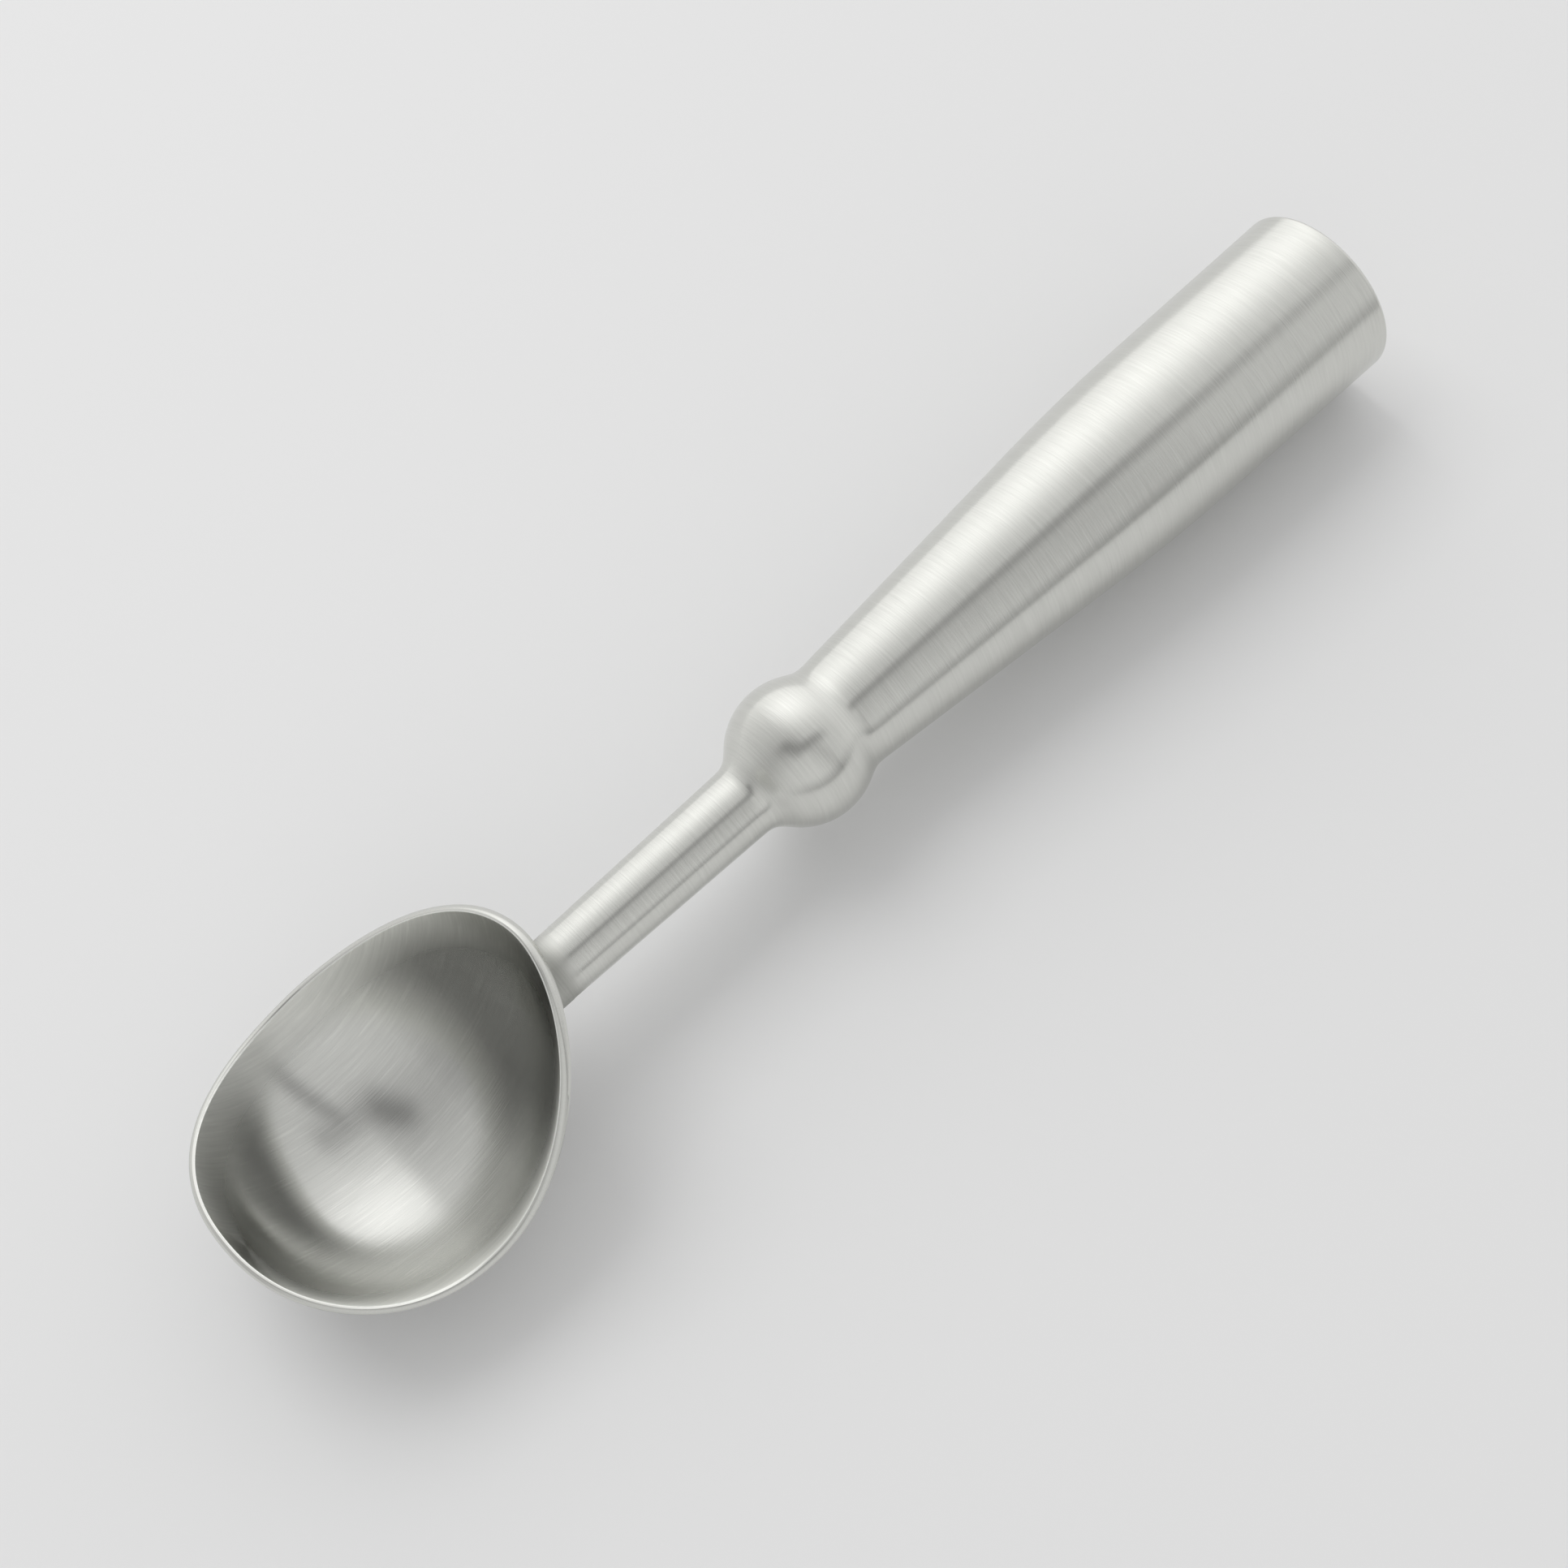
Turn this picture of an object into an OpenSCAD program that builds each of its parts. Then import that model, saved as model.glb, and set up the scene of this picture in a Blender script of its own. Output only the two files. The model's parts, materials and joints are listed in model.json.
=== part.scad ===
// Ice cream scoop: pressed bowl on a turned neck, a ball bolster and a hollow tapered handle.
// The scoop lies on the underside of its bowl and the rear edge of its handle, open side up.

/* [Bowl] */
// Inside reach of the lip forward of the bowl's widest place
lip_front = 18.6; // [15:0.1:24]
// Inside reach of the lip behind the bowl's widest place
lip_back = 20.5; // [16:0.1:25]
// Inside width of the lip
lip_width = 34.6; // [28:0.2:44]
// Fullness of the lip's front curve, where 2 is an ellipse
lip_front_fullness = 2.2; // [1.9:0.05:2.6]
// Fullness of the lip's back curve, where 2 is an ellipse
lip_back_fullness = 1.9; // [1.7:0.05:2.3]
// How far the lip's lowest place lies ahead of the bowl's widest place
lip_dip_ahead = 3.8; // [0:0.1:8]
// How far the lip's lowest place lies under the neck's axis
lip_drop = 1.7; // [-1:0.1:4]
// Radius of the lip's side curve at its lowest place
lip_sweep_r = 20.5; // [15:0.1:60]
// Inside depth of the bowl under the lip's lowest place
bowl_depth = 10.6; // [8:0.2:16]
// How far the bowl's bottom lies ahead of its widest place
bottom_ahead = 2.2; // [0:0.1:4]
// Height over the lip's lowest place at which the bowl's wall stands upright
belt_rise = 12; // [6:0.1:14]
// Wall at the bottom of the bowl
bowl_wall = 1.0; // [0.6:0.05:2]
// Wall at the front of the lip
lip_front_t = 0.8; // [0.5:0.05:2]
// Wall at the back of the lip
lip_back_t = 1.1; // [0.5:0.05:2]
// Width of the lip's broken inner edge
lip_break = 0.1; // [0.05:0.01:0.15]
// Distance from the inside to the lip's crown
lip_crown = 0.25; // [0.2:0.01:0.35]
// Lean of the lip between its broken edge and its crown
lip_lean = 0.3; // [0.05:0.05:0.5]
// Fall of the lip's rounded outside, against the lip's width
lip_slope = 0.65; // [0.2:0.05:1]

/* [Neck] */
// Distance from the ball's centre to the bowl's widest place
bowl_reach = 56.3; // [45:0.1:80]
// Diameter of the neck at the bowl
neck_bowl_d = 7.0; // [6:0.1:10]
// Diameter of the neck at the ball
neck_ball_d = 8.1; // [7:0.1:11]
// Diameter of the tang inside the ball and the handle
tang_d = 5; // [4:0.5:5.5]
// Length of tang that stands out of its nut
tang_spare = 2; // [0.5:0.5:6]

/* [Weld] */
// How far the weld stands out from the neck
weld_rise = 0.4; // [0.2:0.05:1.2]
// How far the weld runs along the neck from the bowl
weld_run = 3.6; // [2:0.1:6]
// Thickness of the weld where it runs out on the neck
weld_edge = 0.05; // [0.03:0.01:0.1]

/* [Ball] */
// Diameter of the ball
ball_d = 16; // [14:0.1:20]
// Radius of the hollow curve between ball and neck
neck_fillet_r = 2.4; // [1:0.1:3]
// Radius of the hollow curve between ball and handle
handle_fillet_r = 3; // [1:0.1:3.4]

/* [Handle] */
// Distance from the ball's centre to the handle's rear end
handle_reach = 79.2; // [65:0.1:120]
// Diameter that the handle's front taper would have at the ball's centre
handle_root_d = 11.9; // [11.5:0.1:13]
// Distance from the ball's centre to the end of the front taper
taper_reach = 47.6; // [36:0.1:55]
// Diameter of the handle at the end of the front taper
shoulder_d = 19.9; // [18.8:0.1:24]
// Diameter of the handle at its rear end
handle_end_d = 20.5; // [20.3:0.1:26]
// Length over which the two tapers blend, each side of the shoulder
taper_blend = 8.5; // [4:0.5:12]
// Rounding of the handle's rear edge
end_round = 0.5; // [0.2:0.1:0.8]
// Wall of the handle's front taper
handle_wall = 1.2; // [0.8:0.1:1.8]
// Thickness of the closed nose of the handle
nose_t = 4; // [3:0.5:8]
// Wall of the handle around its rear bore
rear_wall = 1.8; // [1.6:0.1:2.6]

/* [Fastening] */
// Diameter of the spigot behind the ball
spigot_d = 7; // [6.6:0.1:7.4]
// Length of the spigot behind the ball
spigot_len = 2; // [1:0.5:2.5]
// Play around the spigot and its end
spigot_play = 0.05; // [0.02:0.01:0.1]
// Play around the tang in the handle's nose
tang_play = 0.05; // [0.02:0.01:0.1]
// Play of the ball on the tang
bolster_play = 0.01; // [0.01:0.01:0.05]
// Thickness of the clamp disc
disc_t = 2; // [1:0.5:4]
// Play around the clamp disc
disc_play = 0.15; // [0.05:0.05:0.3]
// Diameter of the lock washer
washer_d = 8.6; // [8:0.1:9]
// Thickness of the lock washer
washer_t = 1.2; // [0.8:0.1:2]
// Width of the slit in the lock washer
washer_slit = 0.8; // [0.4:0.1:1.5]
// Play of washer and nut on the tang
thread_play = 0.02; // [0.01:0.01:0.08]
// Size of the nut across its flats
nut_flats = 8; // [7.5:0.5:8.5]
// Thickness of the nut
nut_t = 4; // [3:0.5:6]

/* [Pin] */
// Diameter of the anti-turn pin
pin_d = 1.2; // [0.8:0.1:1.3]
// Length of the anti-turn pin
pin_len = 4; // [3:0.5:5]
// Play around the pin and at its ends
pin_play = 0.02; // [0.01:0.01:0.04]

/* [End cap] */
// Rim of the handle around the cap's flange
cap_rim = 1.05; // [0.9:0.05:1.3]
// Thickness of the cap's flange
cap_flange_t = 2; // [1:0.5:4]
// Length of the cap's plug ahead of its flange
plug_len = 6; // [5:0.5:12]
// Play around the cap
cap_play = 0.02; // [0.01:0.01:0.08]
// Depth of the hollow turned into the plug
plug_hollow = 4; // [1:0.5:4.5]
// Wall left around that hollow
plug_wall = 2.6; // [2.4:0.1:4]

/* [Seals] */
// Section of the ring between ball and handle
bolster_seal_t = 0.7; // [0.5:0.1:0.8]
// Section of the ring around the plug
cap_seal_t = 1.5; // [1:0.1:1.6]
// Spare width of each seal groove
groove_spare = 0.2; // [0.1:0.05:0.3]

/* [Hidden] */
$fn = 96;
steel = [0.76, 0.76, 0.74];
inner_steel = [0.62, 0.63, 0.65];
rubber = [0.1, 0.1, 0.1];

// Everything below is laid out along the neck's axis, with x = 0 at the ball's centre and the bowl at -x.
lip_half = lip_width / 2;
widest_x = -bowl_reach;
belt_z = belt_rise - lip_drop;
ball_r = ball_d / 2;
tang_r = tang_d / 2;
spigot_r = spigot_d / 2;
shoulder_r = shoulder_d / 2;
handle_end_r = handle_end_d / 2;
rear_bore_r = handle_end_r - rear_wall;
flange_r = handle_end_r - cap_rim;

// Fineness of the bowl's skin: places round the lip, rows from the bottom to the lip, and steps over the lip
around = 64;
rows = 13;
lip_steps = 3;
// Points on a blended stretch and degrees between the points of a turned curve
blend_steps = 8;
arc_step = 6;

// Lip of the bowl, where angle 0 points to the neck and 180 to the front
function lip_z(x) = -lip_drop + pow(x - widest_x + lip_dip_ahead, 2) / (2 * lip_sweep_r);
function lip_t(a) = (lip_front_t + lip_back_t) / 2 + (lip_back_t - lip_front_t) / 2 * cos(a);
function lip_inside(a) =
  let(long = cos(a) > 0 ? lip_back : lip_front, n = cos(a) > 0 ? lip_back_fullness : lip_front_fullness)
  pow(pow(abs(cos(a)) / long, n) + pow(abs(sin(a)) / lip_half, n), -1 / n);
function lip_height(a) = lip_z(widest_x + lip_inside(a) * cos(a));

// Skins of the bowl, where side 0 is the inside and side 1 the outside.
// Under the belt a skin is round in section, and it passes from a circle at the bottom to the lip's egg shape.
function skin_depth(side) = belt_rise + bowl_depth + side * bowl_wall;
function skin_reach(a, side) = lip_inside(a) + side * lip_t(a);
function girth(z, side) = z < belt_z ? sqrt(1 - pow((belt_z - z) / skin_depth(side), 2)) : 1;
function egg(z, side) =
  let(low = belt_z - skin_depth(side), t = (z - low) / (lip_height(0) - low))
  t * t * (3 - 2 * t);
function round_r(side) = skin_reach(90, side) / girth(lip_height(90), side);
function egg_r(a, side) =
  round_r(side)
  + (skin_reach(a, side) / girth(lip_height(a), side) - round_r(side)) / egg(lip_height(a), side);
function skin_r(a, z, side) =
  girth(z, side) * (round_r(side) + (egg_r(a, side) - round_r(side)) * egg(z, side));
function ahead(a, z, side) = bottom_ahead * (1 - egg(z, side) / egg(lip_height(a), side));
function skin_top(a, side) = lip_height(a) - (side == 0 ? lip_break : lip_slope * lip_t(a));

// A row's angle runs from 0 at the bottom through 90 at the belt, and on up the straight wall
function row_top(a, side) =
  let(z = skin_top(a, side), depth = skin_depth(side))
  z < belt_z ? acos((belt_z - z) / depth) : 90 + (z - belt_z) / depth * 180 / PI;
function row_z(turn, side) =
  let(depth = skin_depth(side))
  turn < 90 ? belt_z - depth * cos(turn) : belt_z + depth * (turn - 90) * PI / 180;
function place(a, r, z) = [widest_x + r * cos(a), r * sin(a), z];
function ring(row, side) = [
  for (i = [0:around - 1])
    let(a = 360 * i / around, z = row_z(row_top(a, side) * row / rows, side))
    place(a, skin_r(a, z, side), z) - [ahead(a, z, side), 0, 0]
];
function lip_ring(inset, fall) = [
  for (i = [0:around - 1])
    let(a = 360 * i / around)
    place(a, lip_inside(a) + inset, lip_height(a) - fall)
];
function lip_curve_ring(part) = [
  for (i = [0:around - 1])
    let(a = 360 * i / around)
    place(
      a,
      lip_inside(a) + lip_crown + (lip_t(a) - lip_crown) * part,
      lip_height(a) - lip_slope * lip_t(a) * part * part
    )
];
function flat(lists) = [for (list = lists) each list];
function after_first(list) = [for (i = [1:len(list) - 1]) list[i]];
function bottom(side) = [widest_x - bottom_ahead, 0, belt_z - skin_depth(side)];

// Faces of a closed skin: a first point, a stack of rings and a last point
function stack_faces(count) = concat(
  [for (i = [0:around - 1]) [0, 1 + (i + 1) % around, 1 + i]],
  [
    for (k = [0:count - 2], i = [0:around - 1], half = [0, 1])
      let(low = 1 + k * around, high = low + around, next = (i + 1) % around)
      half == 0 ? [low + i, high + next, high + i] : [low + i, low + next, high + next]
  ],
  [
    for (i = [0:around - 1])
      let(top = 1 + (count - 1) * around)
      [top + i, top + (i + 1) % around, 1 + count * around]
  ]
);
module skin_solid(first, rings, last) {
  polyhedron(points = concat([first], flat(rings), [last]), faces = stack_faces(len(rings)));
}

// The bowl as if it were filled to its lip, which shapes what is welded to its back
module filled_bowl() {
  skin_solid(
    [widest_x, 0, lip_height(0)],
    [for (row = [rows:-1:1]) ring(row, 1)],
    bottom(1)
  );
}

// Back of the bowl on the neck's axis, and where neck and weld start before the bowl's shape is cut off them
bowl_back_x = widest_x + skin_r(0, 0, 1) - ahead(0, 0, 1);
inside_bowl_x = widest_x + lip_back / 2;

// Neck and handle are turned, so their outlines are [distance from the axis, distance along it]
neck_slope = (neck_bowl_d - neck_ball_d) / 2 / (bowl_back_x + ball_r);
neck_root_r = neck_ball_d / 2 + neck_slope * ball_r;
function neck_r(x) = neck_root_r + neck_slope * x;
taper_slope = (shoulder_r - handle_root_d / 2) / taper_reach;
rear_slope = (handle_end_r - shoulder_r) / (handle_reach - taper_reach);
function taper_r(x) = handle_root_d / 2 + taper_slope * x;

// Hollow curve of radius r between the ball and the line that leaves root_r at a slope, on the end's side
function hollow_centre(root_r, slope, r, end) =
  let(
    lifted = root_r + r * sqrt(1 + slope * slope),
    square_part = 1 + slope * slope,
    rest = lifted * lifted - pow(ball_r + r, 2),
    x = (-lifted * slope + end * sqrt(pow(lifted * slope, 2) - square_part * rest)) / square_part
  )
  [lifted + slope * x, x];
function hollow_foot(centre, slope, r) =
  [centre[0] - r / sqrt(1 + slope * slope), centre[1] + r * slope / sqrt(1 + slope * slope)];
function arc(centre, r, from, to) =
  let(steps = ceil(abs(to - from) / arc_step))
  [for (i = [0:steps]) let(a = from + (to - from) * i / steps) [centre[0] + r * sin(a), centre[1] + r * cos(a)]];

neck_hollow = hollow_centre(neck_root_r, neck_slope, neck_fillet_r, -1);
handle_hollow = hollow_centre(handle_root_d / 2, taper_slope, handle_fillet_r, 1);
neck_end_x = hollow_foot(neck_hollow, neck_slope, neck_fillet_r)[1];
joint_x = hollow_foot(handle_hollow, taper_slope, handle_fillet_r)[1];
joint_r = taper_r(joint_x);

// Stack along the tang, from the nose's inner face to the tang's tip
nose_x = joint_x + nose_t;
washer_x = nose_x + disc_t;
nut_x = washer_x + washer_t;
tang_tip_x = nut_x + nut_t + tang_spare;
disc_r = taper_r(nose_x) - handle_wall - disc_play;
tang_break = 0.4;

// Seal grooves and the pin between them and the outside
bolster_groove_r = spigot_r + bolster_seal_t + groove_spare;
pin_circle_r = (bolster_groove_r + joint_r) / 2;
flange_x = handle_reach - cap_flange_t;
plug_x = flange_x - plug_len;
cap_seal_x = (flange_x + plug_x) / 2;
cap_break = 0.2;

// How the scoop lies: both the bowl's underside and the handle's rear edge touch the ground
under_r = pow(round_r(1), 2) / skin_depth(1);
under_z = belt_z - skin_depth(1) + under_r;
edge_x = handle_reach - end_round;
edge_r = handle_end_r - end_round;
under_x = widest_x - bottom_ahead;
contact_span = norm([edge_x - under_x, under_z + edge_r]);
lie_angle = asin((under_r - end_round) / contact_span) - atan2(under_z + edge_r, edge_x - under_x);
lie_height = edge_r * cos(lie_angle) + edge_x * sin(lie_angle) + end_round;
front_top = skin_top(180, 1);
front_reach = skin_r(180, front_top, 1) + ahead(180, front_top, 1);
front_x = (widest_x - front_reach) * cos(lie_angle) + front_top * sin(lie_angle);
rear_x = edge_x * cos(lie_angle) + edge_r * sin(lie_angle) + end_round;
// Overlap of cutting tools past the faces that they open
past = 1;

module lying() {
  translate([-(front_x + rear_x) / 2, 0, lie_height])
    rotate([0, lie_angle, 0])
      children();
}
// Turns a solid that was drawn along z so that it lies along the neck's axis, from x on
module along(x = 0) {
  translate([x, 0, 0])
    rotate([0, 90, 0])
      children();
}
module rod(r, from, to) {
  along(from)
    cylinder(r = r, h = to - from);
}
module tube(inner_r, outer_r, from, to) {
  difference() {
    rod(outer_r, from, to);
    rod(inner_r, from - past, to + past);
  }
}
module turned(outline) {
  along()
    rotate_extrude()
      polygon(outline);
}
module ring_seal(section, middle_r, x) {
  along(x)
    rotate_extrude()
      translate([middle_r, 0])
        circle(d = section);
}

module bowl() {
  color(steel)
    lying()
      skin_solid(
        bottom(0),
        concat(
          [for (row = [1:rows]) ring(row, 0)],
          [lip_ring(lip_break, lip_lean * (lip_crown - lip_break))],
          [for (step = [0:lip_steps - 1]) lip_curve_ring(step / lip_steps)],
          [for (row = [rows:-1:1]) ring(row, 1)]
        ),
        bottom(1)
      );
}

// The weld is a ring round the neck that runs out in a hollow curve
module bowl_weld() {
  run_out = [
    for (i = [0:blend_steps])
      let(a = 90 * i / blend_steps, x = bowl_back_x + weld_run * (1 - cos(a)))
      [neck_r(x) + weld_edge + (weld_rise - weld_edge) * (1 - sin(a)), x]
  ];
  start_r = neck_r(inside_bowl_x);
  foot_x = bowl_back_x + weld_run;
  color(steel)
    lying()
      difference() {
        turned(concat(
          [[start_r, inside_bowl_x], [start_r + weld_rise, inside_bowl_x]],
          run_out,
          [[neck_r(foot_x), foot_x]]
        ));
        filled_bowl();
      }
}

module neck() {
  color(steel)
    lying()
      difference() {
        turned([
          [0, inside_bowl_x],
          [neck_r(inside_bowl_x), inside_bowl_x],
          [neck_r(neck_end_x), neck_end_x],
          [tang_r, neck_end_x],
          [tang_r, tang_tip_x - tang_break],
          [tang_r - tang_break, tang_tip_x],
          [0, tang_tip_x]
        ]);
        filled_bowl();
      }
}

module ball_bolster() {
  to_neck = atan2(neck_hollow[0], neck_hollow[1]);
  to_handle = atan2(handle_hollow[0], handle_hollow[1]);
  outline = concat(
    arc(neck_hollow, neck_fillet_r, atan(neck_slope) - 90, to_neck - 180),
    after_first(arc([0, 0], ball_r, to_neck, to_handle)),
    after_first(arc(handle_hollow, handle_fillet_r, to_handle - 180, atan(taper_slope) - 90))
  );
  color(steel)
    lying()
      difference() {
        union() {
          turned(concat([[0, neck_end_x]], outline, [[0, joint_x]]));
          rod(spigot_r, joint_x - bolster_seal_t - past, joint_x + spigot_len);
        }
        rod(tang_r + bolster_play, neck_end_x - past, joint_x + spigot_len + past);
        tube(spigot_r, bolster_groove_r, joint_x - bolster_seal_t, joint_x + past);
        pin_hole();
      }
}

module bolster_seal() {
  color(rubber)
    lying()
      ring_seal(bolster_seal_t, spigot_r + bolster_seal_t / 2, joint_x - bolster_seal_t / 2);
}

// The pin lies under the tang, half in the ball and half in the handle's nose
module at_pin() {
  translate([0, 0, -pin_circle_r])
    children();
}
module pin_hole() {
  at_pin()
    rod(pin_d / 2 + pin_play, joint_x - pin_len / 2 - pin_play, joint_x + pin_len / 2 + pin_play);
}
module anti_turn_pin() {
  color(inner_steel)
    lying()
      at_pin()
        rod(pin_d / 2, joint_x - pin_len / 2, joint_x + pin_len / 2);
}

function blend(t) =
  let(
    front_point = [taper_r(taper_reach - taper_blend), taper_reach - taper_blend],
    rear_point = [shoulder_r + rear_slope * taper_blend, taper_reach + taper_blend]
  )
  (1 - t) * (1 - t) * front_point + 2 * t * (1 - t) * [shoulder_r, taper_reach] + t * t * rear_point;

module handle() {
  bore_x = (rear_bore_r + handle_wall - handle_root_d / 2) / taper_slope;
  color(steel)
    lying()
      difference() {
        turned(concat(
          [[0, joint_x], [joint_r, joint_x]],
          [for (i = [0:blend_steps]) blend(i / blend_steps)],
          arc([edge_r, edge_x], end_round, 90, 0),
          [[0, handle_reach]]
        ));
        turned([
          [0, nose_x],
          [taper_r(nose_x) - handle_wall, nose_x],
          [rear_bore_r, bore_x],
          [rear_bore_r, handle_reach + past],
          [0, handle_reach + past]
        ]);
        rod(tang_r + tang_play, joint_x - past, nose_x + past);
        rod(spigot_r + spigot_play, joint_x - past, joint_x + spigot_len + spigot_play);
        rod(flange_r + cap_play, flange_x, handle_reach + past);
        pin_hole();
      }
}

module clamp_disc() {
  color(inner_steel)
    lying()
      tube(tang_r + tang_play, disc_r, nose_x, washer_x);
}

module lock_washer() {
  color(inner_steel)
    lying()
      difference() {
        tube(tang_r + thread_play, washer_d / 2, washer_x, nut_x);
        translate([washer_x - past, -washer_slit / 2, -washer_d])
          cube([washer_t + 2 * past, washer_slit, washer_d]);
      }
}

module tang_nut() {
  corner_r = nut_flats / sqrt(3);
  nut_break = corner_r - nut_flats / 2;
  color(inner_steel)
    lying()
      difference() {
        intersection() {
          along(nut_x)
            cylinder(r = corner_r, h = nut_t, $fn = 6);
          turned([
            [0, nut_x],
            [nut_flats / 2, nut_x],
            [corner_r, nut_x + nut_break],
            [corner_r, nut_x + nut_t - nut_break],
            [nut_flats / 2, nut_x + nut_t],
            [0, nut_x + nut_t]
          ]);
        }
        rod(tang_r + thread_play, nut_x - past, nut_x + nut_t + past);
      }
}

module end_cap() {
  groove_half = (cap_seal_t + groove_spare) / 2;
  color(steel)
    lying()
      difference() {
        union() {
          rod(rear_bore_r - cap_play, plug_x, flange_x);
          turned([
            [0, flange_x],
            [flange_r, flange_x],
            [flange_r, handle_reach - cap_break],
            [flange_r - cap_break, handle_reach],
            [0, handle_reach]
          ]);
        }
        tube(rear_bore_r - cap_seal_t, rear_bore_r + past, cap_seal_x - groove_half, cap_seal_x + groove_half);
        rod(rear_bore_r - plug_wall, plug_x - past, plug_x + plug_hollow);
      }
}

module end_cap_seal() {
  color(rubber)
    lying()
      ring_seal(cap_seal_t, rear_bore_r - cap_seal_t / 2, cap_seal_x);
}

bowl();
bowl_weld();
neck();
ball_bolster();
bolster_seal();
anti_turn_pin();
handle();
clamp_disc();
lock_washer();
tang_nut();
end_cap();
end_cap_seal();
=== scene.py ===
"""Dresses the packed ice cream scoop: ground steel on every piece, a pale floor and a soft studio."""

import json
import math

import bpy
from bpy.props import FloatProperty, FloatVectorProperty, PointerProperty
from bpy.types import Operator, Panel, PropertyGroup
from mathutils import Matrix, Vector


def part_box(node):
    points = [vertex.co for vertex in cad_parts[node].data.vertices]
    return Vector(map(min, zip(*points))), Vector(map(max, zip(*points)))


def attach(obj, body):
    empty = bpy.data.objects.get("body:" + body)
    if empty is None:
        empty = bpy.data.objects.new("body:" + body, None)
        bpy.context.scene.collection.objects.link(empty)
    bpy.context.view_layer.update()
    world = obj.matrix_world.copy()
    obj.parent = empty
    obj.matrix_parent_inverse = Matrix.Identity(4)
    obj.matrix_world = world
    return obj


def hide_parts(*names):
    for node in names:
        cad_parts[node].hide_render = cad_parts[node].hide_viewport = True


bl_info = {
    "name": "Ice Cream Scoop",
    "version": (1, 0, 0),
    "blender": (4, 5, 0),
    "location": "3D View > Sidebar > Scoop",
    "description": "Builds the bowl, neck, ball, handle and end cap of an ice cream scoop in ground steel",
    "category": "Add Mesh",
}

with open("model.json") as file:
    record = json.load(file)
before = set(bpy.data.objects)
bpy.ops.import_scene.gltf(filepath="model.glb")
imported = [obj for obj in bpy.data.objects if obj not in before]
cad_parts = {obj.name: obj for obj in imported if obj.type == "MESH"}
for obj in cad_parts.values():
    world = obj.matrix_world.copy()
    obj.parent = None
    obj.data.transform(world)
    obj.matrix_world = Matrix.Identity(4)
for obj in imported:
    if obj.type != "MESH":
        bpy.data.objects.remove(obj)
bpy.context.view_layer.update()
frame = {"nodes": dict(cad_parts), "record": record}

# Fineness of the meshes: places round the bowl, rows up its side, places round a turned piece
BOWL_PLACES = 288
BOWL_ROWS = 72
LIP_STEPS = 4
TURNED_PLACES = 240
NECK_END_RINGS = 4
BLEND_STEPS = 24
ARC_STEP = math.radians(2.5)
HOLLOW_STEP = 0.00004
BALL_STEP = 0.00025
NECK_STEP = 0.002
TAPER_STEP = 0.003
EASING_SAMPLES = 32
SHARP_ANGLE = math.radians(28)


def size(name, default, description):
    return FloatProperty(name=name, description=description, default=default, unit="LENGTH", precision=5)


def share(name, default, description):
    return FloatProperty(name=name, description=description, default=default)


def angle(name, degrees, description):
    default = math.radians(degrees)
    return FloatProperty(name=name, description=description, default=default, unit="ROTATION")


def place(name, default, description):
    return FloatVectorProperty(
        name=name, description=description, default=default, unit="LENGTH", precision=5
    )


def way(name, default, description):
    return FloatVectorProperty(name=name, description=description, default=default, subtype="DIRECTION")


def colour(name, default, description):
    return FloatVectorProperty(
        name=name, description=description, default=default, subtype="COLOR", min=0, max=1
    )


class ScoopBowlSizes(PropertyGroup):
    reach: size("Reach", 0.0563, "From the ball's centre to the bowl's widest place")
    lip_front: size("Lip front", 0.0186, "Inside reach of the lip forward of the widest place")
    lip_back: size("Lip back", 0.0205, "Inside reach of the lip behind the widest place")
    lip_width: size("Lip width", 0.0346, "Inside width of the lip")
    front_fullness: share("Front fullness", 2.2, "Fullness of the lip's front curve, where 2 is an ellipse")
    back_fullness: share("Back fullness", 1.9, "Fullness of the lip's back curve, where 2 is an ellipse")
    dip_ahead: size("Dip ahead", 0.0038, "How far the lip's lowest place lies ahead of the widest place")
    lip_drop: size("Lip drop", 0.0017, "How far the lip's lowest place lies under the neck's axis")
    lip_sweep: size("Lip sweep", 0.0205, "Radius of the lip's side curve at its lowest place")
    depth: size("Depth", 0.0106, "Inside depth of the bowl under the lip's lowest place")
    bottom_ahead: size("Bottom ahead", 0.0022, "How far the bowl's bottom lies ahead of the widest place")
    belt_rise: size("Belt rise", 0.012, "Height over the lip's lowest place where the wall is upright")
    wall: size("Wall", 0.001, "Wall at the bottom of the bowl")
    lip_front_wall: size("Lip front wall", 0.0008, "Wall at the front of the lip")
    lip_back_wall: size("Lip back wall", 0.0011, "Wall at the back of the lip")
    lip_break: size("Lip break", 0.0001, "Width of the lip's broken inner edge")
    lip_crown: size("Lip crown", 0.00025, "Distance from the inside to the lip's crown")
    lip_lean: share("Lip lean", 0.3, "Lean of the lip between its broken edge and its crown")
    lip_slope: share("Lip slope", 0.65, "Fall of the lip's rounded outside, against the lip's width")
    weld_rise: size("Weld rise", 0.0004, "How far the weld stands out from the neck")
    weld_run: size("Weld run", 0.0036, "How far the weld runs along the neck")
    weld_edge: size("Weld edge", 0.00005, "Thickness of the weld where it runs out on the neck")
    weld_under: size("Weld under", 0.0002, "How far the weld reaches under the neck's surface")
    bite: size("Bite", 0.0003, "How far neck and weld reach into the bowl's wall")


class ScoopNeckSizes(PropertyGroup):
    bowl_diameter: size("Diameter at the bowl", 0.007, "Diameter of the neck at the bowl")
    ball_diameter: size("Diameter at the ball", 0.0081, "Diameter of the neck at the ball")
    tang_diameter: size("Tang diameter", 0.005, "Diameter of the tang inside the ball and the handle")
    tang_break: size("Tang break", 0.0004, "Broken edge of the tang's tip")


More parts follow.
